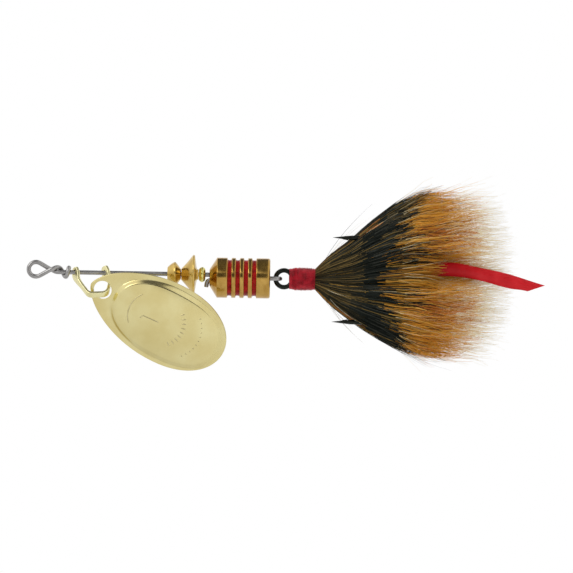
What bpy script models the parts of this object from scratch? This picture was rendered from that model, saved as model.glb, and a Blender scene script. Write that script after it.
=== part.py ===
"""Inline spinner: a wire shaft with a swinging blade, turned brass beads and body, and a dressed treble hook.

The lure hangs from its line-tie eye. +Z points up the line, the shaft lies on the Z axis, and the
origin is on the shaft's axis in the opening of the eye. Lengths below are in millimetres, angles in
degrees, and every mesh is made in metres.
"""
from math import acos, cos, degrees, hypot, pi, radians, sin, sqrt, tan

import bmesh
import bpy
from mathutils import Matrix, Vector

MM = 0.001                      # metres in a millimetre
GAP = 0.03                      # clearance between pieces that touch on the real lure

# shaft wire
WIRE_D = 0.62                   # spring-steel wire
WIRE_SIDES = 8
STRAND_PITCH = WIRE_D + 0.04    # between two wires that lie side by side
EYE_R = 1.03                    # line-tie eye, on the wire's centre line
EYE_Z = 0.50                    # height of the eye's round part
CROSSING_Z = -1.57              # the eye's two strands cross here
TWIST_END_Z = -2.64             # the strand that becomes the shaft is on the axis from here down
COIL_END_Z = -4.12
COIL_TURNS = 1.1
PAIR_PITCH = 0.76               # between the shaft and its doubled-back tag end inside the body
SPREAD_TOP_Z = -29.5            # below this the two wires spread into the rear loop
SPREAD_BOTTOM_Z = -32.2
LOOP_R = 0.68                   # rear loop, on the wire's centre line
LOOP_Z = -33.05                 # centre of the loop's bend
TAG_BEND_R = 0.33
TAG_BEND_Z = -23.80
TAG_REACH = 0.66                # straight length of the tag's cut end
TAG_RISE = 0.11

# clevis: a strap bent to a U, lying in a plane turned about the shaft
CLEVIS_TURN = 45.0              # from -X towards -Y
STRAP_T = 0.40
STRAP_EAR_W = 1.80
STRAP_BELLY_W = 0.95
STRAP_HOLE_R = 0.42
STRAP_CORNERS = (               # distance out from the shaft, height, bend radius
    (-1.25, -4.66, 0.0), (1.80, -5.50, 1.5), (4.40, -7.00, 0.8),
    (4.20, -9.60, 0.9), (1.60, -9.95, 2.0), (-1.25, -8.97, 0.0))

# blade: its hole hangs on the clevis, and its long axis runs down from the hole
BLADE_T = 0.45
BLADE_HALF_W = 5.78
BLADE_FAR = 8.95                # from the widest place to the far end
BLADE_NEAR = 11.94              # from the widest place to the end at the hole
BLADE_HOLE_S = -10.08           # the hole's centre, along the long axis from the widest place
BLADE_HOLE_R = 1.28
BLADE_HOLE = (-2.36, -2.34, -8.94)
BLADE_SLANT = 26.6              # long axis from straight down, towards -X
BLADE_PITCH = 3.0               # far end towards -Y
BLADE_ROLL = 12.0               # outer edge back towards +Y
DISH_CENTRE = 0.10
DISH_HALF_L = 8.10
DISH_HALF_W = 4.90
DISH_STEP = 0.50
DISH_CROWN = 0.40

# beads and body, turned brass: outlines are (radius, height)
BEAD_BORE_R = WIRE_D / 2 + 0.06
TURNED_SIDES = 28
FRONT_BEAD = ((0.80, -17.93), (1.25, -18.25), (1.60, -18.66), (1.75, -18.97), (1.60, -19.12), (0.70, -19.80))
BELL_BEAD = ((0.74, -19.84), (2.64, -21.42), (2.77, -21.58), (2.66, -21.72), (0.86, -22.02), (0.72, -22.08),
             (0.72, -22.27))
BALL_BEAD = ((0.62, -22.32), (0.94, -22.47), (1.05, -22.72), (1.00, -22.95), (0.80, -23.12), (0.52, -23.25))
BODY_X = -PAIR_PITCH / 2        # the bore holds two wires, so the body hangs off the shaft's axis
BODY_R = 2.81
BODY_NOSE_R = 1.14
BODY_NOSE_Z = -23.80
BODY_SHOULDER_Z = -24.86
BODY_REAR_Z = -32.30
BODY_BORE_R = 0.72
BODY_REAR_BORE_R = 1.05
REAR_BORE_TOP_Z = -29.8
REAR_BORE_BOTTOM_Z = -31.8
GROOVE_COUNT = 4
GROOVE_FIRST_Z = -26.60
GROOVE_PITCH = 1.155
GROOVE_W = 0.56
GROOVE_DEPTH = 0.40
LAND_ROUND = 0.10
LACQUER_T = 0.20

# treble hook and its dressing
TREBLE_X = BODY_X
HOOK_WIRE_D = 0.65
RING_R = 1.175                  # treble eye, on the wire's centre line
RING_Z = LOOP_Z - LOOP_R + WIRE_D / 2 + HOOK_WIRE_D / 2 + GAP - RING_R
RING_OPEN = 50.0                # the ring turns into the shanks this far from its lowest point
SHANK_SIDE = 0.34               # the double hook's shanks, either side of the axis
SHANK_BACK = 0.62               # the single hook's shank, behind them
BEND_Z = -45.0                  # height where the bends begin
POINT_R = 6.70                  # hook points from the treble's axis
POINT_Z = -40.97
SPEAR_L = 2.8                   # tapered length of each point
THREAD = ((1.48, -34.95), (1.50, -35.30), (1.58, -35.60), (1.60, -36.60), (1.57, -38.00), (1.46, -38.62))
THREAD_INSIDE = ((1.02, -38.62), (1.02, -35.95), (1.38, -35.10), (1.38, -34.95))
HAIR_OUTSIDE = ((1.50, -38.70), (3.60, -40.90), (5.40, -43.40), (7.70, -46.30), (9.30, -48.80),
                (11.60, -53.20), (12.30, -57.50), (11.60, -61.00), (9.60, -64.00))
HAIR_INSIDE = ((1.35, -38.70), (1.60, -40.90), (1.90, -43.40), (2.50, -46.30), (2.90, -48.80),
               (3.70, -53.20), (4.50, -57.50), (5.30, -61.00), (6.20, -64.00))
HAIR_DEPTH = 0.86               # the tuft is flatter front to back than side to side
HAIR_CLEAR = 0.62               # half the gap that each hook lies in
HAIR_ARC_STEPS = 8
STRIP_W = 2.0
STRIP_T = 0.30
STRIP_ROUTE = (                 # x, y, z down the middle of the strip
    (-0.38, -0.64, -38.75), (-0.36, -0.64, -41.0), (-0.28, -0.66, -44.0), (-0.08, -1.08, -47.0),
    (0.12, -1.30, -48.6), (0.75, -1.60, -51.0), (1.26, -2.20, -54.5), (1.33, -2.90, -57.9),
    (0.95, -3.30, -60.6), (0.40, -3.50, -63.3), (-0.40, -3.60, -66.0), (-0.95, -3.65, -68.3))
STRIP_TIP = (-0.72, -3.68, -70.8)

COLOURS = {                     # base colour, roughness, metallic
    "steel": ((0.42, 0.41, 0.39), 0.30, 1.0),
    "pale_gold": ((0.74, 0.68, 0.42), 0.28, 1.0),
    "brass": ((0.68, 0.48, 0.16), 0.22, 1.0),
    "ball_brass": ((0.70, 0.66, 0.26), 0.20, 1.0),
    "red_lacquer": ((0.45, 0.03, 0.02), 0.25, 0.0),
    "hook_bronze": ((0.07, 0.07, 0.06), 0.30, 1.0),
    "red_thread": ((0.50, 0.02, 0.03), 0.40, 0.0),
    "hair": ((0.42, 0.25, 0.09), 0.60, 0.0),
    "red_vinyl": ((0.68, 0.02, 0.03), 0.35, 0.0),
}


# ---------------------------------------------------------------- helpers

def clear_scene():
    for old in list(bpy.data.objects):
        bpy.data.objects.remove(old, do_unlink=True)


def material(name):
    found = bpy.data.materials.get(name)
    if found:
        return found
    colour, roughness, metallic = COLOURS[name]
    made = bpy.data.materials.new(name)
    made.use_nodes = True
    shader = made.node_tree.nodes["Principled BSDF"]
    shader.inputs["Base Color"].default_value = (*colour, 1.0)
    shader.inputs["Roughness"].default_value = roughness
    shader.inputs["Metallic"].default_value = metallic
    return made


def add_object(name, data, finish, pivot=(0.0, 0.0, 0.0)):
    """Link a mesh or curve, already in metres, with its origin at the pivot given in millimetres."""
    made = bpy.data.objects.new(name, data)
    place = Vector(pivot) * MM
    data.transform(Matrix.Translation(-place))
    made.location = place
    data.materials.append(material(finish))
    bpy.context.scene.collection.objects.link(made)
    return made


def mesh_of(bm, name, sharp=35.0):
    bmesh.ops.scale(bm, vec=(MM, MM, MM), verts=bm.verts)
    bmesh.ops.recalc_face_normals(bm, faces=bm.faces)
    mesh = bpy.data.meshes.new(name)
    bm.to_mesh(mesh)
    bm.free()
    mesh.shade_smooth()
    mesh.set_sharp_from_angle(angle=radians(sharp))
    return mesh


def loft(rings):
    """A closed solid through rings of points, each ring with the same count, with flat end caps."""
    bm = bmesh.new()
    rows = [[bm.verts.new(point) for point in ring] for ring in rings]
    count = len(rows[0])
    for upper, lower in zip(rows, rows[1:]):
        for i in range(count):
            j = (i + 1) % count
            bm.faces.new((upper[i], upper[j], lower[j], lower[i]))
    bm.faces.new(rows[0])
    bm.faces.new(rows[-1])
    return bm


def turned(name, outside, inside, finish, centre_x=0.0, sides=TURNED_SIDES, pivot=None):
    """A turned ring: the outside outline runs down, the inside outline runs back up."""
    outline = list(outside) + list(inside)
    bm = bmesh.new()
    columns = []
    for k in range(sides):
        turn = 2 * pi * k / sides
        columns.append([bm.verts.new((centre_x + r * cos(turn), r * sin(turn), z)) for r, z in outline])
    for k in range(sides):
        here, there = columns[k], columns[(k + 1) % sides]
        for i in range(len(outline)):
            j = (i + 1) % len(outline)
            bm.faces.new((here[i], here[j], there[j], there[i]))
    middle_z = (outside[0][1] + outside[-1][1]) / 2
    return add_object(name, mesh_of(bm, name), finish, pivot or (centre_x, 0.0, middle_z))


def wire(name, points, diameter, finish, pivot, tapers=None):
    """A round wire along the points; tapers gives the radius factor at each point."""
    curve = bpy.data.curves.new(name, "CURVE")
    curve.dimensions = "3D"
    curve.bevel_depth = diameter / 2 * MM
    curve.bevel_resolution = (WIRE_SIDES - 4) // 2
    curve.use_fill_caps = True
    spline = curve.splines.new("POLY")
    spline.points.add(len(points) - 1)
    for i, point in enumerate(points):
        spline.points[i].co = (*(Vector(point) * MM), 1.0)
        spline.points[i].radius = tapers[i] if tapers else 1.0
    return add_object(name, curve, finish, pivot)


def smooth_step(t):
    return t * t * (3 - 2 * t)


def rounded(corners, arc_step=20.0):
    """Points along straight runs between (u, v, radius) corners, with each corner turned as an arc."""
    points = [Vector(corners[0][:2])]
    for before, corner, after in zip(corners, corners[1:], corners[2:]):
        here, radius = Vector(corner[:2]), corner[2]
        back = (Vector(before[:2]) - here).normalized()
        ahead = (Vector(after[:2]) - here).normalized()
        half = back.angle(ahead) / 2
        centre = here + (back + ahead).normalized() * radius / sin(half)
        start = here + back * radius / tan(half) - centre
        sweep = start.angle_signed(here + ahead * radius / tan(half) - centre)
        steps = max(2, round(abs(degrees(sweep)) / arc_step))
        for k in range(steps + 1):
            turn = -sweep * k / steps
            points.append(centre + Vector((start.x * cos(turn) - start.y * sin(turn),
                                           start.x * sin(turn) + start.y * cos(turn))))
    points.append(Vector(corners[-1][:2]))
    return points


def smooth_route(knots, steps):
    """Points on one smooth curve through the knots (Catmull-Rom)."""
    knots = [Vector(k) for k in knots]
    ends = [2 * knots[0] - knots[1]] + knots + [2 * knots[-1] - knots[-2]]
    points = []
    for a, b, c, d in zip(ends, ends[1:], ends[2:], ends[3:]):
        for k in range(steps):
            t = k / steps
            points.append(0.5 * (2 * b + (c - a) * t + (2 * a - 5 * b + 4 * c - d) * t ** 2
                                 + (3 * b - 3 * c + d - a) * t ** 3))
    points.append(knots[-1])
    return points


# ---------------------------------------------------------------- shaft wire

def line_tie_points():
    """From the coil's cut end up through the twist, round the eye and back to the shaft."""
    half = STRAND_PITCH / 2
    points = []
    coil_steps = 20
    for k in range(coil_steps, 0, -1):
        t = k / coil_steps
        turn = 2 * pi * COIL_TURNS * t
        drop = (COIL_END_Z - TWIST_END_Z) * t ** 0.75
        points.append((STRAND_PITCH * cos(turn), STRAND_PITCH * sin(turn), TWIST_END_Z + drop))
    twist_steps = 5
    for k in range(twist_steps + 1):
        t = k / twist_steps
        turn = -pi / 2 * t
        height = TWIST_END_Z + (CROSSING_Z - TWIST_END_Z) * t
        points.append((half + half * cos(turn), half * sin(turn), height))
    leave = acos(EYE_R / (EYE_Z - CROSSING_Z))
    eye_steps = 18
    first, last = -pi / 2 - leave, -pi / 2 + leave - 2 * pi
    for k in range(eye_steps + 1):
        t = k / eye_steps
        turn = first + (last - first) * t
        points.append((half + EYE_R * cos(turn), half * 0.55 * (2 * t - 1), EYE_Z + EYE_R * sin(turn)))
    for k in range(twist_steps + 1):
        t = 1 - k / twist_steps
        turn = pi / 2 + pi / 2 * (1 - t)
        height = TWIST_END_Z + (CROSSING_Z - TWIST_END_Z) * t
        points.append((half + half * cos(turn), half * sin(turn), height))
    return points


def rear_loop_points():
    """Down the body, out into the rear loop that carries the treble, and back up beside the shaft."""
    spread_steps = 7
    down = []
    for k in range(spread_steps + 1):
        t = k / spread_steps
        part = smooth_step(t)
        height = SPREAD_TOP_Z + (SPREAD_BOTTOM_Z - SPREAD_TOP_Z) * t
        down.append((BODY_X * part, -LOOP_R * part, height))
    bend_steps = 10
    bend = []
    for k in range(bend_steps + 1):
        turn = pi + pi * k / bend_steps
        bend.append((BODY_X, LOOP_R * cos(turn), LOOP_Z + LOOP_R * sin(turn)))
    up = [(2 * BODY_X - x, -y, z) for x, y, z in reversed(down)]
    tag = []
    tag_steps = 5
    for k in range(tag_steps + 1):
        turn = pi / 2 * k / tag_steps
        tag.append((-PAIR_PITCH - TAG_BEND_R * (1 - cos(turn)), 0.0, TAG_BEND_Z + TAG_BEND_R * sin(turn)))
    tag.append((tag[-1][0] - TAG_REACH, 0.0, tag[-1][2] + TAG_RISE))
    return down + bend + up + tag


def build_shaft_wire():
    wire("shaft_wire", line_tie_points() + rear_loop_points(), WIRE_D, "steel", (0.0, 0.0, 0.0))


# ---------------------------------------------------------------- clevis and blade

def clevis_axes():
    """Outward direction of the U's plane, and the direction across the strap."""
    turn = radians(CLEVIS_TURN)
    return Vector((-cos(turn), -sin(turn), 0.0)), Vector((sin(turn), -cos(turn), 0.0))


def strap_half_width(along, length):
    """Round ears at both ends, and a narrower belly between them."""
    ear = STRAP_EAR_W / 2
    from_end = min(along, length - along)
    if from_end < ear:
        return max(0.25, sqrt(ear ** 2 - (ear - from_end) ** 2))
    narrow = smooth_step(min(1.0, (from_end - ear) / 2.2))
    return ear + (STRAP_BELLY_W / 2 - ear) * narrow


def build_clevis():
    outward, across = clevis_axes()
    path = []
    corners = rounded(STRAP_CORNERS)
    for a, b in zip(corners, corners[1:]):
        pieces = max(1, round((b - a).length / 0.4))
        path += [a + (b - a) * k / pieces for k in range(pieces)]
    path.append(corners[-1])
    lengths = [0.0]
    for a, b in zip(path, path[1:]):
        lengths.append(lengths[-1] + (b - a).length)
    rings = []
    for i, point in enumerate(path):
        ahead = path[min(i + 1, len(path) - 1)] - path[max(i - 1, 0)]
        normal = Vector((-ahead.y, ahead.x)).normalized() * STRAP_T / 2
        half = strap_half_width(lengths[i], lengths[-1])
        ring = []
        for side, face in ((-1, -1), (1, -1), (1, 1), (-1, 1)):
            flat = point + normal * face
            ring.append(outward * flat.x + Vector((0, 0, flat.y)) + across * half * side)
        rings.append(ring)
    clevis = add_object("clevis", mesh_of(loft(rings), "clevis"), "pale_gold", (0.0, 0.0, STRAP_CORNERS[0][1]))
    cut_hole(clevis, STRAP_HOLE_R, Vector((0.0, 0.0, -7.3)), Vector((0.0, 0.0, 1.0)), 9.0)


def cut_hole(target, radius, centre, axis, depth):
    """Drill a round hole with a cutter that stays in the scene as a wire guide."""
    bm = bmesh.new()
    bmesh.ops.create_cone(bm, cap_ends=True, segments=24, radius1=radius, radius2=radius, depth=depth)
    bmesh.ops.rotate(bm, verts=bm.verts, matrix=Vector((0, 0, 1)).rotation_difference(axis).to_matrix())
    bmesh.ops.translate(bm, verts=bm.verts, vec=centre)
    cutter = bpy.data.objects.new(target.name + "_drill", mesh_of(bm, target.name + "_drill"))
    bpy.context.scene.collection.objects.link(cutter)
    cutter.hide_render = True
    cutter.display_type = "WIRE"
    hole = target.modifiers.new("hole", "BOOLEAN")
    hole.operation = "DIFFERENCE"
    hole.solver = "EXACT"
    hole.object = cutter


def blade_axes():
    """Directions down the blade, across it to its outer edge, and out of its front face."""
    slant, pitch, roll = radians(BLADE_SLANT), radians(BLADE_PITCH), radians(BLADE_ROLL)
    flat_long = Vector((-sin(slant), 0.0, -cos(slant)))
    flat_side = Vector((-cos(slant), 0.0, sin(slant)))
    back = Vector((0.0, 1.0, 0.0))
    down = flat_long * cos(pitch) - back * sin(pitch)
    level = flat_long * sin(pitch) + back * cos(pitch)
    side = flat_side * cos(roll) + level * sin(roll)
    front = flat_side * sin(roll) - level * cos(roll)
    return down, side, front


def blade_outline(turn):
    """A point on the blade's edge: blunt at the far end, drawn in towards the hole."""
    c, s = cos(turn), sin(turn)
    if c > 0:
        return Vector((BLADE_FAR * c, BLADE_HALF_W * sqrt(1 - c ** 2.2) * (1 if s >= 0 else -1)))
    return Vector((BLADE_NEAR * c, BLADE_HALF_W * abs(s) ** 1.33 * (1 if s >= 0 else -1)))


def build_blade():
    down, side, front = blade_axes()
    middle = Vector(BLADE_HOLE) - down * BLADE_HOLE_S
    around = 36
    dish_steps = ((0.35, DISH_STEP + DISH_CROWN * 0.88), (0.70, DISH_STEP + DISH_CROWN * 0.51), (0.97, DISH_STEP))
    rim_steps = ((0.10, 0.0), (1.0, 0.0))
    bm = bmesh.new()
    layers = []
    for face in (1, -1):
        rows = []
        for share, height in dish_steps + rim_steps:
            row = []
            for k in range(around):
                turn = 2 * pi * (k + 0.5) / around
                dish = Vector((DISH_CENTRE + DISH_HALF_L * cos(turn), DISH_HALF_W * sin(turn)))
                if height > 0:
                    flat = Vector((DISH_CENTRE, 0.0)).lerp(dish, share)
                else:
                    flat = dish.lerp(blade_outline(turn), share)
                lift = height + face * BLADE_T / 2
                row.append(bm.verts.new(middle + down * flat.x + side * flat.y + front * lift))
            rows.append(row)
        crown = DISH_STEP + DISH_CROWN + face * BLADE_T / 2
        hub = bm.verts.new(middle + down * DISH_CENTRE + front * crown)
        for k in range(around):
            j = (k + 1) % around
            bm.faces.new((hub, rows[0][k], rows[0][j]))
            for inner, outer in zip(rows, rows[1:]):
                bm.faces.new((inner[k], outer[k], outer[j], inner[j]))
        layers.append(rows[-1])
    for k in range(around):
        j = (k + 1) % around
        bm.faces.new((layers[0][k], layers[1][k], layers[1][j], layers[0][j]))
    blade = add_object("blade", mesh_of(bm, "blade", 60.0), "pale_gold", blade_pivot())
    cut_hole(blade, BLADE_HOLE_R, Vector(BLADE_HOLE), front, 4.0)


def blade_pivot():
    """The middle of the blade's end loop, which turns inside the clevis."""
    down = blade_axes()[0]
    end_loop = (BLADE_NEAR + BLADE_HOLE_S + BLADE_HOLE_R) / 2
    return Vector(BLADE_HOLE) - down * end_loop


# ---------------------------------------------------------------- beads and body

def build_beads():
    for name, outline, finish in (("front_bead", FRONT_BEAD, "brass"), ("bell_bead", BELL_BEAD, "brass"),
                                  ("ball_bead", BALL_BEAD, "ball_brass")):
        bore = ((BEAD_BORE_R, outline[-1][1]), (BEAD_BORE_R, outline[0][1]))
        turned(name, outline, bore, finish)


def groove_heights():
    return [GROOVE_FIRST_Z - GROOVE_PITCH * k for k in range(GROOVE_COUNT)]


def build_body():
    outline = [(BODY_NOSE_R - 0.12, BODY_NOSE_Z), (BODY_NOSE_R, BODY_NOSE_Z - 0.06),
               (BODY_R - 0.06, BODY_SHOULDER_Z), (BODY_R, BODY_SHOULDER_Z - 0.10)]
    floor_r = BODY_R - GROOVE_DEPTH
    for z in groove_heights():
        top, bottom = z + GROOVE_W / 2, z - GROOVE_W / 2
        outline += [(BODY_R, top + LAND_ROUND), (BODY_R - LAND_ROUND, top), (floor_r, top),
                    (floor_r, bottom), (BODY_R - LAND_ROUND, bottom), (BODY_R, bottom - LAND_ROUND)]
    outline += [(BODY_R, BODY_REAR_Z + 0.30), (BODY_R - 0.09, BODY_REAR_Z + 0.09), (BODY_R - 0.30, BODY_REAR_Z)]
    bore = [(BODY_REAR_BORE_R, BODY_REAR_Z), (BODY_REAR_BORE_R, REAR_BORE_BOTTOM_Z),
            (BODY_BORE_R, REAR_BORE_TOP_Z), (BODY_BORE_R, BODY_NOSE_Z)]
    turned("body", outline, bore, "brass", BODY_X)
    for k, z in enumerate(groove_heights()):
        half = GROOVE_W / 2 - GAP
        inner, outer = floor_r + GAP, floor_r + LACQUER_T
        turned("groove_lacquer_%d" % (k + 1), ((outer, z + half), (outer, z - half)),
               ((inner, z - half), (inner, z + half)), "red_lacquer", BODY_X, pivot=(BODY_X, 0.0, z))


# ---------------------------------------------------------------- treble hook

def hook_points(shank_x, shank_y, azimuth):
    """From the foot of a shank round the bend to the point, with the taper at each point."""
    out = Vector((cos(azimuth), sin(azimuth), 0.0))
    foot = Vector((TREBLE_X + shank_x, shank_y, BEND_Z))
    reach = POINT_R - Vector((shank_x, shank_y, 0.0)).dot(out)
    radius = reach / 2
    bend_steps = 9
    points, tapers = [], []
    for k in range(bend_steps + 1):
        turn = pi * k / bend_steps
        points.append(foot + out * radius * (1 - cos(turn)) + Vector((0, 0, -radius * sin(turn))))
        tapers.append(1.0)
    for share, taper in ((0.0, 1.0), (0.55, 0.55), (1.0, 0.06)):
        rise = POINT_Z - BEND_Z - SPEAR_L * (1 - share)
        points.append(foot + out * reach + Vector((0, 0, rise)))
        tapers.append(taper)
    return points, tapers


def build_treble():
    pivot = (TREBLE_X, 0.0, LOOP_Z - LOOP_R)
    right, right_taper = hook_points(SHANK_SIDE, 0.0, radians(-30))
    left, left_taper = hook_points(-SHANK_SIDE, 0.0, radians(-150))
    ring = []
    ring_steps = 18
    first, last = radians(-90 + RING_OPEN), radians(270 - RING_OPEN)
    for k in range(ring_steps + 1):
        turn = first + (last - first) * k / ring_steps
        ring.append(Vector((TREBLE_X + RING_R * cos(turn), 0.0, RING_Z + RING_R * sin(turn))))
    run_in = (ring[0].x - TREBLE_X - SHANK_SIDE) / tan(radians(RING_OPEN))
    neck = [Vector((TREBLE_X + SHANK_SIDE + 0.06, 0.0, ring[0].z - run_in + 0.05)),
            Vector((TREBLE_X + SHANK_SIDE, 0.0, ring[0].z - run_in - 0.25))]
    mirrored = [Vector((2 * TREBLE_X - p.x, 0.0, p.z)) for p in neck]
    points = list(reversed(right)) + list(reversed(neck)) + ring + mirrored + left
    plain = [1.0] * (len(ring) + 2 * len(neck))
    wire("treble_double_hook", points, HOOK_WIRE_D, "hook_bronze", pivot,
         list(reversed(right_taper)) + plain + left_taper)
    back, back_taper = hook_points(0.0, SHANK_BACK, radians(90))
    start = Vector((TREBLE_X, SHANK_BACK, RING_Z - 2.0))
    wire("treble_single_hook", [start] + back, HOOK_WIRE_D, "hook_bronze", pivot, [1.0] + back_taper)


def build_thread_wrap():
    turned("thread_wrap", THREAD, THREAD_INSIDE, "red_thread", TREBLE_X, 24, (TREBLE_X, 0.0, LOOP_Z - LOOP_R))


def build_hair():
    """Three bundles that fill the sectors between the three hooks."""
    pivot = (TREBLE_X, 0.0, LOOP_Z - LOOP_R)
    for number, start in enumerate((-150, -30, 90)):
        rings = []
        for (outer, z), (inner, _) in zip(HAIR_OUTSIDE, HAIR_INSIDE):
            ring = []
            for radius, order in ((outer, 1), (inner, -1)):
                for k in range(HAIR_ARC_STEPS + 1)[::order]:
                    share = k / HAIR_ARC_STEPS
                    turn = radians(start + 120 * share)
                    reach = radius / hypot(cos(turn), sin(turn) / HAIR_DEPTH) if order > 0 else radius
                    margin = degrees(HAIR_CLEAR / reach)
                    turn = radians(start + margin + (120 - 2 * margin) * share)
                    ring.append((TREBLE_X + reach * cos(turn), reach * sin(turn), z))
            rings.append(ring)
        name = "hair_bundle_%d" % (number + 1)
        add_object(name, mesh_of(loft(rings), name, 60.0), "hair", pivot)


def build_attractor_strip():
    route = smooth_route(STRIP_ROUTE, 2)
    rings = []
    for i, point in enumerate(route):
        ahead = route[min(i + 1, len(route) - 1)] - route[max(i - 1, 0)]
        across = Vector((0, -1, 0)).cross(ahead).normalized() * STRIP_W / 2
        lift = Vector((0, STRIP_T / 2, 0))
        rings.append([point - across - lift, point + across - lift, point + across + lift, point - across + lift])
    tip = Vector(STRIP_TIP)
    rings.append([tip + Vector((dx, dy, 0)) for dx, dy in ((-0.05, -0.1), (0.05, -0.1), (0.05, 0.1), (-0.05, 0.1))])
    pivot = (TREBLE_X, 0.0, LOOP_Z - LOOP_R)
    add_object("attractor_strip", mesh_of(loft(rings), "attractor_strip"), "red_vinyl", pivot)


clear_scene()
build_shaft_wire()
build_clevis()
build_blade()
build_beads()
build_body()
build_treble()
build_thread_wrap()
build_hair()
build_attractor_strip()
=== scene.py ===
"""Looks of the inline spinner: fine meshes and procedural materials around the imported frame.

Lengths are in millimetres and angles in degrees, in the lure's own frame: the shaft is on Z, +Z runs
up the line, and the blade's face looks towards -Y. Every mesh is made in metres.
"""

from math import acos, copysign, cos, pi, radians, sin, sqrt, tan

import bmesh
import bpy
import numpy as np
from mathutils import Matrix, Vector


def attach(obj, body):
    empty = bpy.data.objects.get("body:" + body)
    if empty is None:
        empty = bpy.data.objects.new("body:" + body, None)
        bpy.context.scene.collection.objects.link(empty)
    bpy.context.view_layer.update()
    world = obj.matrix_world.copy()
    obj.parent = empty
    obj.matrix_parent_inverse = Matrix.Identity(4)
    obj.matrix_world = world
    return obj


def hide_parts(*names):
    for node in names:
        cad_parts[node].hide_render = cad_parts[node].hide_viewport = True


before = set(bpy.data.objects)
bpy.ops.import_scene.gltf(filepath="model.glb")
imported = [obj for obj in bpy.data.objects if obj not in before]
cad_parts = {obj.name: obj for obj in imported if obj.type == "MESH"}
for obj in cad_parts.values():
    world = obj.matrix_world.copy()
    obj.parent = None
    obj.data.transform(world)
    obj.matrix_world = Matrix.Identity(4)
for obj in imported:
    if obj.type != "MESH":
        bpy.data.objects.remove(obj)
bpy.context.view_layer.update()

MM = 0.001

# camera and surroundings
VIEW_WIDTH = 80.22              # width of the view at the shaft
VIEW_CENTRE = (-1.457, -34.61)  # x and z at the middle of the view
VIEW_ROLL = 1.03                # the shaft drops this much to the right
CAMERA_AWAY = 1500.0
SENSOR = 36.0
FLOOR_Z = -90.0
FLOOR_R = 450.0
LAMP_PLACE = (210, -190, 190)
LAMP_SIZE = 150
LAMP_STRENGTH = 3.2
LAMP_TARGET = (0.0, 0.0, -34.0)

# shaft wire
WIRE_D = 0.62
STRAND_PITCH = WIRE_D + 0.04
EYE_R = 1.03
EYE_Z = 0.50
CROSSING_Z = -1.57
TWIST_END_Z = -2.64
COIL_END_Z = -4.12
COIL_TURNS = 1.1
PAIR_PITCH = 0.76
SPREAD_TOP_Z = -29.5
SPREAD_BOTTOM_Z = -32.2
LOOP_R = 0.68
LOOP_Z = -33.05
TAG_BEND_R = 0.33
TAG_BEND_Z = -23.80
TAG_REACH = 0.66
TAG_RISE = 0.11

# clevis
CLEVIS_TURN = 45.0
STRAP_T = 0.40
STRAP_EAR_W = 1.80
STRAP_EAR_SKEW = 17.0           # the ears are bent aslant, degrees
STRAP_BELLY_W = 0.98
STRAP_EDGE = 0.10
STRAP_HOLE_R = 0.40
STRAP_MIDDLE_Z = -7.3
STRAP_CORNERS = (
    (-0.72, -4.82, 0.0), (1.80, -5.52, 1.5), (4.40, -7.00, 0.8),
    (4.20, -9.60, 0.9), (1.60, -9.92, 2.0), (-1.05, -8.90, 0.0))

# blade
BLADE_T = 0.45
BLADE_HALF_W = 5.78
BLADE_FAR = 8.95
BLADE_NEAR = 11.94
BLADE_HOLE_S = -10.08
BLADE_HOLE_R = 1.28
BLADE_HOLE_EDGE = 0.07
BLADE_HOLE = (-2.36, -2.34, -8.94)
BLADE_SLANT = 26.6
BLADE_PITCH = 3.0
BLADE_ROLL = 12.0
BLADE_FAR_FULLNESS = 2.2        # 2 would be half an ellipse
BLADE_NEAR_TAPER = 1.33         # 1 would be half an ellipse, more is slimmer
DISH_CENTRE = 0.10
DISH_HALF_L = 8.09
DISH_HALF_W = 4.89
DISH_SQUARENESS = 2.37          # 2 would be a plain ellipse
DISH_STEP = 0.50
DISH_CROWN = 0.40
WALL_HALF = 0.33                # the dish's wall is twice this wide
STAMP_W = 0.17
STAMP_RISE = 0.045
STAMP_ARC = (-5.6, 3.4, 42.0)   # where it crosses the middle line, radius, half angle
STAMP_ROWS = ((2.6, 4.0, 42.0, 9, 0.66), (5.2, 5.6, 38.0, 11, 0.26))  # as the arc, then marks, length

# turned brass: outlines are (radius, height, rounding)
BORE_R = WIRE_D / 2 + 0.06
FRONT_BEAD = ((0.78, -17.90, 0.0), (0.95, -17.90, 0.10), (1.42, -18.38, 0.30), (1.76, -18.97, 0.14),
              (1.50, -19.22, 0.12), (0.78, -19.74, 0.05), (0.70, -19.81, 0.0))
BELL_BEAD = ((0.70, -19.85, 0.0), (0.80, -19.86, 0.05), (1.62, -20.60, 0.25), (2.79, -21.52, 0.12),
             (2.68, -21.74, 0.08), (0.98, -22.00, 0.10), (0.74, -22.09, 0.03), (0.72, -22.27, 0.0))
BALL_BEAD = ((0.60, -22.31, 0.0), (0.80, -22.33, 0.06), (1.06, -22.60, 0.17), (1.07, -22.92, 0.17),
             (0.82, -23.20, 0.06), (0.56, -23.25, 0.0))
BODY_X = -PAIR_PITCH / 2
BODY_R = 2.81
BODY_NOSE_R = 1.14
BODY_NOSE_Z = -23.80
BODY_SHOULDER_Z = -24.86
BODY_REAR_Z = -32.30
BODY_BORE_R = 0.72
BODY_REAR_BORE_R = 1.05
REAR_BORE_TOP_Z = -29.8
REAR_BORE_BOTTOM_Z = -31.8
GROOVE_COUNT = 4
GROOVE_FIRST_Z = -26.60
GROOVE_PITCH = 1.155
GROOVE_W = 0.56
GROOVE_DEPTH = 0.40
LACQUER_EDGE_T = 0.19
LACQUER_MIDDLE_T = 0.08

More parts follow.
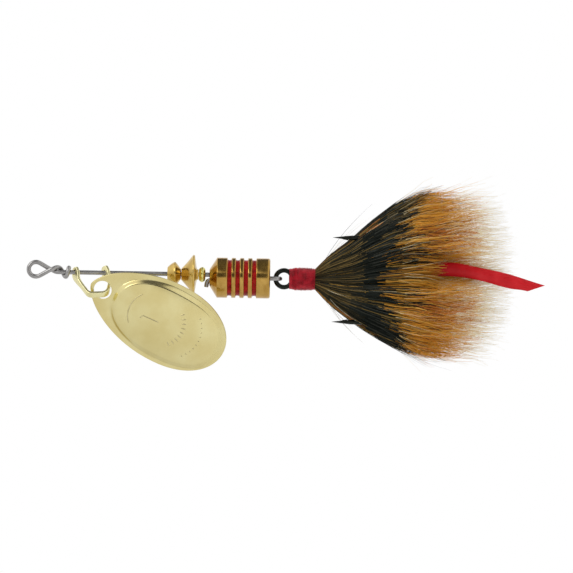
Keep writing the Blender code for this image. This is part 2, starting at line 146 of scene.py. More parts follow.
# treble hook, thread, hair and strip; the thread's and hair's outlines are (radius, height)
TREBLE_X = BODY_X
HOOK_WIRE_D = 0.65
RING_R = 1.175
RING_Z = LOOP_Z - LOOP_R + WIRE_D / 2 + HOOK_WIRE_D / 2 + 0.03 - RING_R
RING_OPEN = 50.0
SHANK_SIDE = 0.34
SHANK_BACK = 0.62
BEND_Z = -45.0
POINT_R = 6.70
POINT_Z = -40.97
SPEAR_L = 2.8
BARB_HALF_WIDTHS = (0.15, 0.11, 0.025)
THREAD = ((1.36, -34.98), (1.40, -35.40), (1.50, -35.75), (1.52, -36.60), (1.49, -38.00), (1.36, -38.62))
THREAD_R = 0.085
THREAD_PITCH = 0.150
HAIR_ROOT_Z = -38.55
HAIR_EDGE = ((1.38, -38.55), (2.30, -39.40), (3.72, -40.90), (5.55, -43.40), (7.40, -45.70), (9.70, -49.10),
             (11.70, -53.20), (12.10, -57.50), (12.00, -61.00), (11.80, -66.50))
HAIR_CORE = ((0.55, -38.55), (0.75, -39.40), (0.90, -40.90), (1.00, -43.40), (1.10, -45.70), (1.15, -49.10),
             (1.20, -53.20), (1.25, -57.50), (1.30, -61.00), (1.30, -66.50))
HAIR_SWAY = ((-0.38, -38.55), (-0.38, -43.40), (-0.07, -45.70), (0.34, -49.10), (0.49, -53.20),
             (0.49, -57.50), (0.72, -61.70), (0.85, -66.50))
HAIR_DEPTH = ((1.0, -38.55), (1.02, -42.0), (1.24, -45.2), (0.94, -51.0), (0.92, -66.5))
HAIR_PARTING = 32.0             # on the front, where the strip lies, the tuft is flatter over this angle
HAIR_TIP_Z = -66.4
HAIRS_A_BUNDLE = 2600
GUARD_HAIRS = 330
WISPS = 420
WISP_TIP_Z = -67.2
STRAYS = 26
OUTLINE_STRAYS = 7
LOCKS = 64
STRIP_W = 2.0
STRIP_T = 0.28
STRIP_ARCH = 0.16
STRIP_END_SLANT = 1.08
STRIP_ROUTE = (
    (-0.38, -0.64, -38.75), (-0.36, -0.64, -41.0), (-0.28, -0.66, -44.0), (-0.08, -1.08, -47.0),
    (0.12, -1.30, -48.6), (0.75, -1.60, -51.0), (1.26, -2.20, -54.5), (1.33, -2.90, -57.9),
    (0.95, -3.30, -60.6), (0.40, -3.50, -63.3), (-0.26, -3.60, -66.0), (-1.10, -3.65, -69.5))


# ---------------------------------------------------------------- meshes

def add_object(name, data):
    made = bpy.data.objects.new(name, data)
    bpy.context.scene.collection.objects.link(made)
    return made


def mesh_object(name, verts, faces, finish, sharp=40.0, slots=None):
    """A mesh piece from points in millimetres, shaded smooth; slots gives each face's material index."""
    mesh = bpy.data.meshes.new(name)
    mesh.from_pydata([tuple(float(c) * MM for c in v) for v in verts], [], [tuple(f) for f in faces])
    for one in (finish if isinstance(finish, (list, tuple)) else [finish]):
        mesh.materials.append(one)
    if slots is not None:
        mesh.polygons.foreach_set("material_index", slots)
    mesh.validate()
    mesh.shade_smooth()
    if sharp:
        mesh.set_sharp_from_angle(angle=radians(sharp))
    return add_object(name, mesh)


def frames_along(points, first_normal):
    """Tangent, normal and binormal at each point, without twist."""
    tangents = np.gradient(points, axis=0)
    tangents /= np.linalg.norm(tangents, axis=1)[:, None]
    normals = np.zeros_like(points)
    normal = np.array(first_normal, float)
    for i, tangent in enumerate(tangents):
        normal = normal - tangent * normal.dot(tangent)
        normal /= np.linalg.norm(normal)
        normals[i] = normal
    return tangents, normals, np.cross(tangents, normals)


def swept(points, sections, first_normal):
    """Points and faces of a closed solid; sections[i] holds (along normal, along binormal) pairs."""
    points = np.array(points, float)
    _, normals, across = frames_along(points, first_normal)
    count = len(sections[0])
    verts = []
    for point, normal, binormal, section in zip(points, normals, across, sections):
        verts += [point + normal * a + binormal * b for a, b in section]
    faces = []
    for i in range(len(points) - 1):
        for k in range(count):
            j = (k + 1) % count
            faces.append((i * count + k, i * count + j, (i + 1) * count + j, (i + 1) * count + k))
    faces.append(tuple(reversed(range(count))))
    faces.append(tuple(range((len(points) - 1) * count, len(points) * count)))
    return verts, faces


def oval_section(half_a, half_b, sides):
    """An oval of (along normal, along binormal) pairs."""
    return [(half_a * cos(2 * pi * k / sides), half_b * sin(2 * pi * k / sides)) for k in range(sides)]


def append_solid(verts, faces, solid):
    """Add another solid's points and faces to a growing mesh."""
    more_verts, more_faces = solid
    faces += [tuple(i + len(verts) for i in f) for f in more_faces]
    verts += more_verts


def wire(points, diameter, sides=20, tapers=None, first_normal=(0.3, 1.0, 0.1)):
    radii = [diameter / 2 * t for t in (tapers or [1.0] * len(points))]
    return swept(points, [oval_section(r, r, sides) for r in radii], first_normal)


def smooth_route(knots, steps):
    """Points on one smooth curve through the knots (Catmull-Rom)."""
    knots = [np.array(k, float) for k in knots]
    ends = [2 * knots[0] - knots[1]] + knots + [2 * knots[-1] - knots[-2]]
    points = []
    for a, b, c, d in zip(ends, ends[1:], ends[2:], ends[3:]):
        for k in range(steps):
            t = k / steps
            points.append(0.5 * (2 * b + (c - a) * t + (2 * a - 5 * b + 4 * c - d) * t ** 2
                                 + (3 * b - 3 * c + d - a) * t ** 3))
    points.append(knots[-1])
    return points


def softened(outline, steps=5):
    """An outline of (u, v, rounding) corners with each corner turned as a short curve."""
    points = [outline[0][:2]]
    for before, here, after in zip(outline, outline[1:], outline[2:]):
        corner = Vector(here[:2])
        back, ahead = Vector(before[:2]) - corner, Vector(after[:2]) - corner
        cut = min(here[2], back.length * 0.48, ahead.length * 0.48)
        if cut <= 0:
            points.append(tuple(corner))
            continue
        start, end = corner + back.normalized() * cut, corner + ahead.normalized() * cut
        for k in range(steps + 1):
            t = k / steps
            points.append(tuple(start * (1 - t) ** 2 + corner * 2 * t * (1 - t) + end * t ** 2))
    points.append(outline[-1][:2])
    return points


def turned(outline, centre_x=0.0, sides=112):
    """A closed turned ring from an outline of (radius, height) that goes all the way round."""
    count = len(outline)
    verts, faces = [], []
    for k in range(sides):
        turn = 2 * pi * k / sides
        verts += [(centre_x + r * cos(turn), r * sin(turn), z) for r, z in outline]
    for k in range(sides):
        here, there = k * count, (k + 1) % sides * count
        for i in range(count):
            j = (i + 1) % count
            faces.append((here + i, here + j, there + j, there + i))
    return verts, faces


def smooth_step(t):
    """0 up to 1 without corners, for a number or an array."""
    t = np.clip(t, 0.0, 1.0)
    return t * t * (3 - 2 * t)


def radius_at(profile, z):
    """The radius at a height, or at an array of heights, on a profile of (radius, height) from the top."""
    radii, heights = zip(*reversed(profile))
    return np.interp(z, heights, radii)


def drill(target, radius, centre, axis, depth, rounding):
    """Cut a round hole, then round its edges."""
    bm = bmesh.new()
    bmesh.ops.create_cone(bm, cap_ends=True, segments=72, radius1=radius * MM, radius2=radius * MM,
                          depth=depth * MM)
    bmesh.ops.rotate(bm, verts=bm.verts, matrix=Vector((0, 0, 1)).rotation_difference(axis).to_matrix())
    bmesh.ops.translate(bm, verts=bm.verts, vec=Vector(centre) * MM)
    mesh = bpy.data.meshes.new("drill")
    bm.to_mesh(mesh)
    bm.free()
    cutter = add_object("drill", mesh)
    hole = target.modifiers.new("hole", "BOOLEAN")
    hole.operation, hole.solver, hole.object = "DIFFERENCE", "EXACT", cutter
    if rounding:
        soft = target.modifiers.new("edge", "BEVEL")
        soft.width, soft.segments, soft.limit_method = rounding * MM, 3, "ANGLE"
        soft.angle_limit = radians(60)
        soft.use_clamp_overlap = True
    settle(target)
    bpy.data.objects.remove(cutter, do_unlink=True)


def settle(target):
    """Replace an object's mesh with its evaluated one, so no modifier stays on it."""
    bpy.context.view_layer.update()
    done = bpy.data.meshes.new_from_object(target.evaluated_get(bpy.context.evaluated_depsgraph_get()))
    target.modifiers.clear()
    target.data = done
    done.shade_smooth()
    done.set_sharp_from_angle(angle=radians(38))


# ---------------------------------------------------------------- materials

def new_material(name, colour, roughness, metallic=0.0, **plain):
    made = bpy.data.materials.new(name)
    made.use_nodes = True
    shader = made.node_tree.nodes["Principled BSDF"]
    shader.inputs["Base Color"].default_value = (*colour, 1.0)
    shader.inputs["Roughness"].default_value = roughness
    shader.inputs["Metallic"].default_value = metallic
    for socket, value in plain.items():
        shader.inputs[socket.replace("_", " ")].default_value = value
    return made


def node(made, kind, **inputs):
    found = made.node_tree.nodes.new(kind)
    for name, value in inputs.items():
        socket = found.inputs[name.replace("_", " ")]
        if hasattr(value, "is_output"):
            made.node_tree.links.new(value, socket)
        else:
            socket.default_value = value
    return found


def object_coords(made, scale=(1.0, 1.0, 1.0)):
    """Object coordinates in millimetres, stretched by scale."""
    coords = node(made, "ShaderNodeTexCoord").outputs["Object"]
    return node(made, "ShaderNodeMapping", Vector=coords,
                Scale=tuple(1000.0 * s for s in scale)).outputs["Vector"]


def noise(made, vector, size, detail=4.0):
    """Noise from 0 to 1 whose features are about `size` millimetres across."""
    return node(made, "ShaderNodeTexNoise", Vector=vector, Scale=1.0 / size, Detail=detail).outputs["Fac"]


def spread(made, value, low, high, low_in=0.3, high_in=0.7):
    mapped = node(made, "ShaderNodeMapRange", Value=value, From_Min=low_in, From_Max=high_in,
                  To_Min=low, To_Max=high)
    return mapped.outputs["Result"]


def ramp(made, value, stops):
    found = node(made, "ShaderNodeValToRGB", Fac=value)
    band = found.color_ramp
    while len(band.elements) < len(stops):
        band.elements.new(0.5)
    for element, (place, colour) in zip(band.elements, stops):
        element.position, element.color = place, (*colour, 1.0)
    return found.outputs["Color"]


def mixed(made, share, one, other):
    found = made.node_tree.nodes.new("ShaderNodeMix")
    found.data_type = "RGBA"
    for socket, value in ((found.inputs[0], share), (found.inputs[6], one), (found.inputs[7], other)):
        if hasattr(value, "is_output"):
            made.node_tree.links.new(value, socket)
        else:
            socket.default_value = value if isinstance(value, float) else (*value, 1.0)
    return found.outputs[2]


def finish_with(made, colour=None, roughness=None, height=None, depth=0.01):
    """Feed a material's shader; depth is the bump's full height in millimetres."""
    shader = made.node_tree.nodes["Principled BSDF"]
    links = made.node_tree.links
    if colour is not None:
        links.new(colour, shader.inputs["Base Color"])
    if roughness is not None:
        links.new(roughness, shader.inputs["Roughness"])
    if height is not None:
        bump = node(made, "ShaderNodeBump", Height=height, Strength=1.0, Distance=depth * MM)
        links.new(bump.outputs["Normal"], shader.inputs["Normal"])
    return made


def worn_metal(name, bright, dull, roughness, grain, stretch, depth, patch=1.6):
    """A metal with a drawn, turned or rolled grain, and dull patches."""
    made = new_material(name, bright, roughness, 1.0)
    even = object_coords(made)
    lines = noise(made, object_coords(made, stretch), grain, 3.0)
    patches = noise(made, even, patch, 5.0)
    colour = mixed(made, spread(made, patches, 0.0, 1.0, 0.35, 0.72), bright, dull)
    rough = spread(made, lines, roughness * 0.75, roughness * 1.3)
    return finish_with(made, colour, rough, lines, depth)


def steel_finish():
    return worn_metal("drawn_steel", (0.42, 0.41, 0.40), (0.30, 0.29, 0.285), 0.34, 0.10, (1, 1, 0.12), 0.004)


def bronze_finish():
    bright, dull = (0.030, 0.033, 0.027), (0.016, 0.017, 0.014)
    return worn_metal("hook_bronze", bright, dull, 0.33, 0.12, (1, 1, 0.2), 0.004)


def clevis_finish():
    return worn_metal("clevis_gold", (0.94, 0.88, 0.50), (0.86, 0.78, 0.40), 0.30, 0.12, (1, 1, 0.5), 0.004)


def blade_finish():
    """Rolled, gold-plated sheet: very fine haze, and soft patches where the plating is warmer."""
    made = new_material("blade_gold", (0.80, 0.70, 0.34), 0.16, 1.0)
    haze = noise(made, object_coords(made, (1.0, 1.0, 0.4)), 0.07, 3.0)
    cloud = noise(made, object_coords(made), 3.6, 3.0)
    warm, middle, pale = (0.70, 0.59, 0.26), (0.75, 0.65, 0.31), (0.80, 0.72, 0.37)
    colour = ramp(made, cloud, ((0.30, warm), (0.52, middle), (0.74, pale)))
    return finish_with(made, colour, spread(made, haze, 0.13, 0.20), haze, 0.0008)


def stamp_finish():
    return worn_metal("stamp_gold", (0.66, 0.58, 0.32), (0.52, 0.45, 0.24), 0.36, 0.10, (1, 1, 1), 0.004, 0.8)


def brass_finish(name, bright, dull, roughness=0.20):
    """Turned brass: fine rings left by the tool, with slight tarnish."""
    made = new_material(name, bright, roughness, 1.0)
    rings = noise(made, object_coords(made, (0.02, 0.02, 1.0)), 0.07, 2.0)
    stain = noise(made, object_coords(made, (1.0, 1.0, 1.4)), 1.1, 6.0)
    colour = mixed(made, spread(made, stain, 0.0, 1.0, 0.42, 0.75), bright, dull)
    return finish_with(made, colour, spread(made, rings, roughness * 0.8, roughness * 1.35), rings, 0.0035)


def lacquer_finish():
    made = new_material("red_lacquer", (0.40, 0.010, 0.008), 0.24, 0.0, Specular_IOR_Level=0.10)
    pooled = noise(made, object_coords(made), 0.7, 4.0)
    deep, middle, thin = (0.20, 0.004, 0.004), (0.40, 0.010, 0.008), (0.52, 0.022, 0.012)
    colour = ramp(made, pooled, ((0.30, deep), (0.55, middle), (0.8, thin)))
    return finish_with(made, colour, spread(made, pooled, 0.20, 0.34), pooled, 0.02)


def thread_finish():
    """Lacquered silk: fine fibres along the turns."""
    made = new_material("red_thread", (0.50, 0.012, 0.03), 0.36, 0.0, Specular_IOR_Level=0.25)
    fibres = noise(made, object_coords(made, (0.5, 0.5, 2.5)), 0.07, 3.0)
    soaked = noise(made, object_coords(made), 0.9, 4.0)
    deep, middle, thin = (0.28, 0.005, 0.012), (0.50, 0.011, 0.026), (0.66, 0.03, 0.05)
    colour = ramp(made, soaked, ((0.32, deep), (0.55, middle), (0.75, thin)))
    return finish_with(made, colour, spread(made, fibres, 0.28, 0.48), fibres, 0.02)


def vinyl_finish():
    made = new_material("red_vinyl", (0.68, 0.016, 0.022), 0.30, 0.0, Specular_IOR_Level=0.16)
    streaks = noise(made, object_coords(made, (1.0, 1.0, 0.25)), 0.30, 4.0)
    broad = noise(made, object_coords(made), 2.4, 3.0)
    deep, middle, pale = (0.56, 0.010, 0.016), (0.68, 0.016, 0.024), (0.78, 0.035, 0.045)
    colour = ramp(made, broad, ((0.3, deep), (0.55, middle), (0.8, pale)))
    return finish_with(made, colour, spread(made, streaks, 0.24, 0.40), streaks, 0.008)


HAIR_TONES = {                  # plain colours, chosen stretch by stretch along every hair
    "hair_umber": (0.050, 0.040, 0.018),
    "hair_olive": (0.260, 0.175, 0.055),
    "hair_black": (0.014, 0.018, 0.014),
    # grey hairs, partly a real tone and partly painted sheen standing in for highlights on the black hairs
    "hair_grey_sheen": (0.060, 0.064, 0.052),
    "hair_amber": (0.800, 0.350, 0.036),
    "hair_honey": (0.900, 0.510, 0.100),
    "hair_rust": (0.600, 0.200, 0.040),
    "hair_cream": (0.930, 0.760, 0.440),
    "hair_pale": (0.960, 0.880, 0.680),
}
TONE = {name: i for i, name in enumerate(HAIR_TONES)}


def hair_finishes():
    return [new_material(name, colour, 0.50, 0.0, Specular_IOR_Level=0.12)
            for name, colour in HAIR_TONES.items()]


# ---------------------------------------------------------------- shaft wire, clevis, blade

def line_tie_points():
    half = STRAND_PITCH / 2
    points = []
    coil_steps = 60
    for k in range(coil_steps, 0, -1):
        t = k / coil_steps
        turn = 2 * pi * COIL_TURNS * t
        drop = (COIL_END_Z - TWIST_END_Z) * (1 - (1 - t) ** 2)
        points.append((STRAND_PITCH * cos(turn), STRAND_PITCH * sin(turn), TWIST_END_Z + drop))
    twist_steps = 14
    for k in range(twist_steps + 1):
        t = k / twist_steps
        turn = -pi / 2 * smooth_step(t)
        points.append((half + half * cos(turn), half * sin(turn),
                       TWIST_END_Z + (CROSSING_Z - TWIST_END_Z) * t))
    leave = acos(EYE_R / (EYE_Z - CROSSING_Z))
    eye_steps = 56
    first, last = -pi / 2 - leave, -pi / 2 + leave - 2 * pi
    for k in range(eye_steps + 1):
        t = k / eye_steps
        turn = first + (last - first) * t
        points.append((half + EYE_R * cos(turn), half * 0.55 * (2 * t - 1), EYE_Z + EYE_R * sin(turn)))
    for k in range(twist_steps + 1):
        t = k / twist_steps
        turn = pi / 2 + pi / 2 * smooth_step(t)
        points.append((half + half * cos(turn), half * sin(turn),
                       CROSSING_Z + (TWIST_END_Z - CROSSING_Z) * t))
    return points


def rear_loop_points():
    spread_steps = 16
    down = []
    for k in range(spread_steps + 1):
        t = k / spread_steps
        part = smooth_step(t)
        down.append((BODY_X * part, -LOOP_R * part, SPREAD_TOP_Z + (SPREAD_BOTTOM_Z - SPREAD_TOP_Z) * t))
    bend_steps = 24
    bend = []
    for k in range(bend_steps + 1):
        turn = pi + pi * k / bend_steps
        bend.append((BODY_X, LOOP_R * cos(turn), LOOP_Z + LOOP_R * sin(turn)))
    up = [(2 * BODY_X - x, -y, z) for x, y, z in reversed(down)]
    tag = []
    tag_steps = 10
    for k in range(tag_steps + 1):
        turn = pi / 2 * k / tag_steps
        tag.append((-PAIR_PITCH - TAG_BEND_R * (1 - cos(turn)), 0.0, TAG_BEND_Z + TAG_BEND_R * sin(turn)))
    tag.append((tag[-1][0] - TAG_REACH, 0.0, tag[-1][2] + TAG_RISE))
    return down + bend + up + tag


def evened(points, step):
    """The same route with points at even spacing."""
    points = np.array(points, float)
    lengths = np.concatenate([[0], np.cumsum(np.linalg.norm(np.diff(points, axis=0), axis=1))])
    places = np.linspace(0, lengths[-1], max(2, round(lengths[-1] / step)))
    return np.stack([np.interp(places, lengths, points[:, i]) for i in range(3)], axis=1)


def relaxed(points, passes):
    """Smooths kinks where two stretches of a route meet, and keeps the ends."""
    points = np.array(points, float)
    for _ in range(passes):
        points[1:-1] = points[1:-1] * 0.5 + (points[:-2] + points[2:]) * 0.25
    return points


def build_shaft_wire():
    route = relaxed(evened(line_tie_points() + rear_loop_points(), 0.12), 5)
    tapers = [0.86, 0.96] + [1.0] * (len(route) - 4) + [0.96, 0.86]
    piece = mesh_object("shaft_wire_drawn", *wire(route, WIRE_D, 20, tapers), steel_finish())
    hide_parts("shaft_wire")
    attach(piece, "shaft")


def clevis_axes():
    turn = radians(CLEVIS_TURN)
    return Vector((-cos(turn), -sin(turn), 0.0)), Vector((sin(turn), -cos(turn), 0.0))


def strap_half_width(along, length):
    ear = STRAP_EAR_W / 2
    from_end = min(along, length - along)
    if from_end < ear:
        return max(0.10, sqrt(ear ** 2 - (ear - from_end) ** 2))
    return ear + (STRAP_BELLY_W / 2 - ear) * smooth_step((from_end - ear) / 3.0)


def arc_corners(corners, step):
    """Straight runs with arcs at the corners, as points at even spacing."""
    points = [Vector(corners[0][:2])]
    for before, corner, after in zip(corners, corners[1:], corners[2:]):
        here, radius = Vector(corner[:2]), corner[2]
        back = (Vector(before[:2]) - here).normalized()
        ahead = (Vector(after[:2]) - here).normalized()
        half = back.angle(ahead) / 2
        centre = here + (back + ahead).normalized() * radius / sin(half)
        start = here + back * radius * cos(half) / sin(half) - centre
        sweep = start.angle_signed(here + ahead * radius * cos(half) / sin(half) - centre)
        for k in range(13):
            turn = -sweep * k / 12
            points.append(centre + Vector((start.x * cos(turn) - start.y * sin(turn),
                                           start.x * sin(turn) + start.y * cos(turn))))
    points.append(Vector(corners[-1][:2]))
    return evened([(p.x, p.y, 0.0) for p in points], step)


def build_clevis():
    outward, across = clevis_axes()
    path = relaxed(arc_corners(STRAP_CORNERS, 0.09), 6)
    lengths = np.concatenate([[0], np.cumsum(np.linalg.norm(np.diff(path, axis=0), axis=1))])
    verts, faces = [], []
    for i, point in enumerate(path):
        ahead = path[min(i + 1, len(path) - 1)] - path[max(i - 1, 0)]
        normal = Vector((-ahead[1], ahead[0])).normalized()
        half = strap_half_width(lengths[i], lengths[-1])
        from_end = min(lengths[i], lengths[-1] - lengths[i])
        skew = tan(radians(STRAP_EAR_SKEW)) * (1 - smooth_step((from_end - 1.2) / 2.0))
        for side, face in ((-1, -1), (1, -1), (1, 1), (-1, 1)):
            for k in range(4):
                turn = pi / 2 * k / 3
                inner, outer = (cos(turn), sin(turn)) if side * face > 0 else (sin(turn), cos(turn))
                u = side * (half - min(STRAP_EDGE, half * 0.5) * (1 - inner))
                flat = Vector((point[0], point[1])) + normal * face * (STRAP_T / 2 - STRAP_EDGE * (1 - outer))
                verts.append(outward * flat.x + Vector((0, 0, flat.y - skew * u)) + across * u)
    count = 16
    for i in range(len(path) - 1):
        for k in range(count):
            j = (k + 1) % count
            faces.append((i * count + k, (i + 1) * count + k, (i + 1) * count + j, i * count + j))
    faces.append(tuple(range(count)))
    faces.append(tuple(reversed(range((len(path) - 1) * count, len(path) * count))))
    piece = mesh_object("clevis_strap", verts, faces, clevis_finish())
    outward_faces(piece)
    drill(piece, STRAP_HOLE_R, (0.0, 0.0, STRAP_MIDDLE_Z), Vector((0, 0, 1)), 9.0, 0.0)
    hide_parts("clevis")
    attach(piece, "clevis")


def outward_faces(piece):
    bm = bmesh.new()
    bm.from_mesh(piece.data)
    bmesh.ops.recalc_face_normals(bm, faces=bm.faces)
    bm.to_mesh(piece.data)
    bm.free()


def blade_axes():
    slant, pitch, roll = radians(BLADE_SLANT), radians(BLADE_PITCH), radians(BLADE_ROLL)
    flat_long = Vector((-sin(slant), 0.0, -cos(slant)))
    flat_side = Vector((-cos(slant), 0.0, sin(slant)))
    back = Vector((0.0, 1.0, 0.0))
    down = flat_long * cos(pitch) - back * sin(pitch)
    level = flat_long * sin(pitch) + back * cos(pitch)
    side = flat_side * cos(roll) + level * sin(roll)
    front = flat_side * sin(roll) - level * cos(roll)
    return down, side, front


def blade_outline(turn):
    c, s = cos(turn), sin(turn)
    if c > 0:
        return Vector((BLADE_FAR * c, BLADE_HALF_W * sqrt(1 - c ** BLADE_FAR_FULLNESS) * copysign(1, s)))
    return Vector((BLADE_NEAR * c, BLADE_HALF_W * abs(s) ** BLADE_NEAR_TAPER * copysign(1, s)))


def dish_height(share):
    """Height of the blade's middle surface: 0 to 1 runs from the dish's crown to its edge."""
    return DISH_STEP + DISH_CROWN * (1 - share ** 2.2)


def blade_point(turn, place):
    """place runs 0 to 1 over the dish, 1 to 2 down its wall, and 2 to 3 over the rim to the blade's edge."""
    c, s = (copysign(abs(v) ** (2 / DISH_SQUARENESS), v) for v in (cos(turn), sin(turn)))
    centre = Vector((DISH_CENTRE, 0.0))
    dish = Vector((DISH_CENTRE + DISH_HALF_L * c, DISH_HALF_W * s))
    outline = blade_outline(turn)
    inner = dish + (centre - dish).normalized() * WALL_HALF
    outer = dish + (outline - dish).normalized() * WALL_HALF
    if place <= 1:
        return centre.lerp(inner, place), dish_height(place)
    if place <= 2:
        wall = place - 1
        return inner.lerp(outer, wall), DISH_STEP * (1 - (smooth_step(wall) + 2 * wall) / 3)
    return outer.lerp(outline, place - 2), 0.0


def build_blade():
    down, side, front = blade_axes()
    middle = Vector(BLADE_HOLE) - down * BLADE_HOLE_S
    around = 208
    places = ([0.05, 0.14, 0.24, 0.34, 0.44, 0.54, 0.64, 0.74, 0.83, 0.90, 0.95, 0.98]
              + [1 + k / 12 for k in range(13)] + [2.06, 2.18, 2.35, 2.55, 2.75, 2.88, 2.95])
    turns = [2 * pi * (k + 0.5) / around for k in range(around)]
    verts, rows = [], []

    def add_row(points):
        rows.append(range(len(verts), len(verts) + around))
        verts.extend(points)

    def spot(flat, lift):
        return middle + down * flat.x + side * flat.y + front * lift

    for place in places:
        add_row([spot(flat, h + BLADE_T / 2) for flat, h in (blade_point(t, place) for t in turns)])
    for k in range(1, 8):
        tilt = pi / 2 - pi * k / 8
        inset = BLADE_T / 2 * (1 - cos(tilt))
        ring = []
        for t in turns:
            flat = blade_outline(t)
            flat = flat * (1 - inset / max(flat.length, 1.0))
            ring.append(spot(flat, BLADE_T / 2 * sin(tilt)))
        add_row(ring)
    for place in reversed(places):
        add_row([spot(flat, h - BLADE_T / 2) for flat, h in (blade_point(t, place) for t in turns)])
    faces = []
    for upper, lower in zip(rows, rows[1:]):
        for k in range(around):
            j = (k + 1) % around
            faces.append((upper[k], lower[k], lower[j], upper[j]))
    for row, lift in ((rows[0], BLADE_T / 2), (rows[-1], -BLADE_T / 2)):
        hub = len(verts)
        verts.append(spot(Vector((DISH_CENTRE, 0.0)), dish_height(0) + lift))
        faces += [(hub, row[k], row[(k + 1) % around]) for k in range(around)]
    piece = mesh_object("spinner_blade", verts, faces, blade_finish())
    outward_faces(piece)
    drill(piece, BLADE_HOLE_R, BLADE_HOLE, front, 4.0, BLADE_HOLE_EDGE)
    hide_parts("blade")
    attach(piece, "blade")
    build_stamp(down, side, front, middle)


def dish_surface(s, w):
    """Height of the blade's front face at a place given along and across the dish."""
    share = (abs((s - DISH_CENTRE) / DISH_HALF_L) ** DISH_SQUARENESS
             + abs(w / DISH_HALF_W) ** DISH_SQUARENESS) ** (1 / DISH_SQUARENESS)
    return dish_height(share) + BLADE_T / 2


def build_stamp(down, side, front, middle):
    """Generic stamped marks: a size numeral, an arc, and two curved rows of plain bars and dots."""
    strokes = [[(-3.40 + 2.45 * t, 0.38 - 0.18 * t) for t in np.linspace(0, 1, 9)],
               [(-3.40 - 0.22 * t, 0.38 + 0.55 * t) for t in np.linspace(0, 1, 5)]]
    for row_s, reach, half_angle, count, length in STAMP_ROWS:
        for k in range(count):
            turn = radians(half_angle * (2 * k / (count - 1) - 1))
            s, w = row_s - reach * (1 - cos(turn)), reach * sin(turn) * 0.86
            strokes.append([(s + (t - 0.5) * length * cos(turn), w + (t - 0.5) * length * sin(turn))
                            for t in np.linspace(0, 1, 4)])
    arc_s, reach, half_angle = STAMP_ARC
    strokes.append([(arc_s + reach * (1 - cos(turn)), reach * sin(turn))
                    for turn in np.radians(np.linspace(-half_angle, half_angle, 25))])
    verts, faces = [], []
    for stroke in strokes:
        points = []
        for s, w in stroke:
            points.append(np.array(middle + down * s + side * w + front * (dish_surface(s, w) - 0.02)))
        sections = []
        for i in range(len(points)):
            end = 0.45 if i in (0, len(points) - 1) else 1.0
            rise, half = (STAMP_RISE + 0.02) * end, STAMP_W / 2 * end
            sections.append([(rise * sin(2 * pi * k / 10), half * cos(2 * pi * k / 10)) for k in range(10)])
        append_solid(verts, faces, swept(points, sections, front))
    piece = mesh_object("blade_stamp", verts, faces, stamp_finish())
    outward_faces(piece)
    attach(piece, "blade")


# ---------------------------------------------------------------- beads and body

def build_beads():
    brass = brass_finish("bead_brass", (0.70, 0.49, 0.15), (0.50, 0.32, 0.085), 0.14)
    yellow = brass_finish("ball_brass", (0.80, 0.72, 0.26), (0.62, 0.52, 0.14), 0.17)
    for name, outline, finish, slot in (("front_bead", FRONT_BEAD, brass, "brass"),
                                        ("bell_bead", BELL_BEAD, brass, "brass"),
                                        ("ball_bead", BALL_BEAD, yellow, "yellow_brass")):
        outside = softened(outline)
        bore = [(BORE_R, outline[-1][1] + 0.02), (BORE_R, outline[0][1] - 0.02)]
        piece = mesh_object(name + "_turned", *turned(outside + bore), finish)
        outward_faces(piece)
        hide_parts(name)
        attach(piece, name)


def groove_heights():
    return [GROOVE_FIRST_Z - GROOVE_PITCH * k for k in range(GROOVE_COUNT)]


def build_body():
    floor_r = BODY_R - GROOVE_DEPTH
    outline = [(BODY_BORE_R, BODY_NOSE_Z, 0.0), (BODY_NOSE_R, BODY_NOSE_Z, 0.07),
               (BODY_R, BODY_SHOULDER_Z, 0.07)]
    for z in groove_heights():
        top, bottom = z + GROOVE_W / 2, z - GROOVE_W / 2
        outline += [(BODY_R, top, 0.13), (floor_r, top, 0.03),
                    (floor_r, bottom, 0.03), (BODY_R, bottom, 0.13)]
    outline += [(BODY_R, BODY_REAR_Z, 0.34), (BODY_REAR_BORE_R, BODY_REAR_Z, 0.05),
                (BODY_REAR_BORE_R, REAR_BORE_BOTTOM_Z, 0.0), (BODY_BORE_R, REAR_BORE_TOP_Z, 0.0),
                (BODY_BORE_R, BODY_NOSE_Z - 0.2, 0.0)]
    brass = brass_finish("body_brass", (0.56, 0.345, 0.09), (0.42, 0.235, 0.05), 0.16)
    piece = mesh_object("body_turned", *turned(softened(outline), BODY_X, 144), brass)
    outward_faces(piece)
    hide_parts("body")
    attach(piece, "body")
    lacquer = lacquer_finish()
    for k, z in enumerate(groove_heights()):
        half = GROOVE_W / 2 - 0.012
        inner = floor_r + 0.012
        ring = [(inner, z - half), (inner, z + half)]
        for i in range(9):
            t = 1 - 2 * i / 8
            fill = LACQUER_MIDDLE_T + (LACQUER_EDGE_T - LACQUER_MIDDLE_T) * t ** 4
            ring.append((floor_r + fill, z + half * t))
        name = "groove_lacquer_%d" % (k + 1)
        piece = mesh_object(name + "_fill", *turned(ring, BODY_X, 144), lacquer)
        outward_faces(piece)
        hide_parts(name)
        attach(piece, "body")


# ---------------------------------------------------------------- treble hook

def hook_points(shank_x, shank_y, azimuth):
    out = np.array((cos(azimuth), sin(azimuth), 0.0))
    foot = np.array((TREBLE_X + shank_x, shank_y, BEND_Z))
    reach = POINT_R - (shank_x * out[0] + shank_y * out[1])
    radius = reach / 2
    up = np.array((0.0, 0.0, 1.0))
    points, tapers = [], []
    bend_steps = 28
    for k in range(bend_steps + 1):
        turn = pi * k / bend_steps
        points.append(foot + out * radius * (1 - cos(turn)) - up * radius * sin(turn))
        tapers.append(1.0)
    spear_steps = 16
    for k in range(spear_steps + 1):
        share = k / spear_steps
        rise = POINT_Z - BEND_Z - SPEAR_L * (1 - share)
        points.append(foot + out * reach + up * rise)
        tapers.append(max(0.03, 1.0 - 0.97 * share ** 1.25))
    return points, tapers, foot + out * reach + up * (POINT_Z - BEND_Z), out


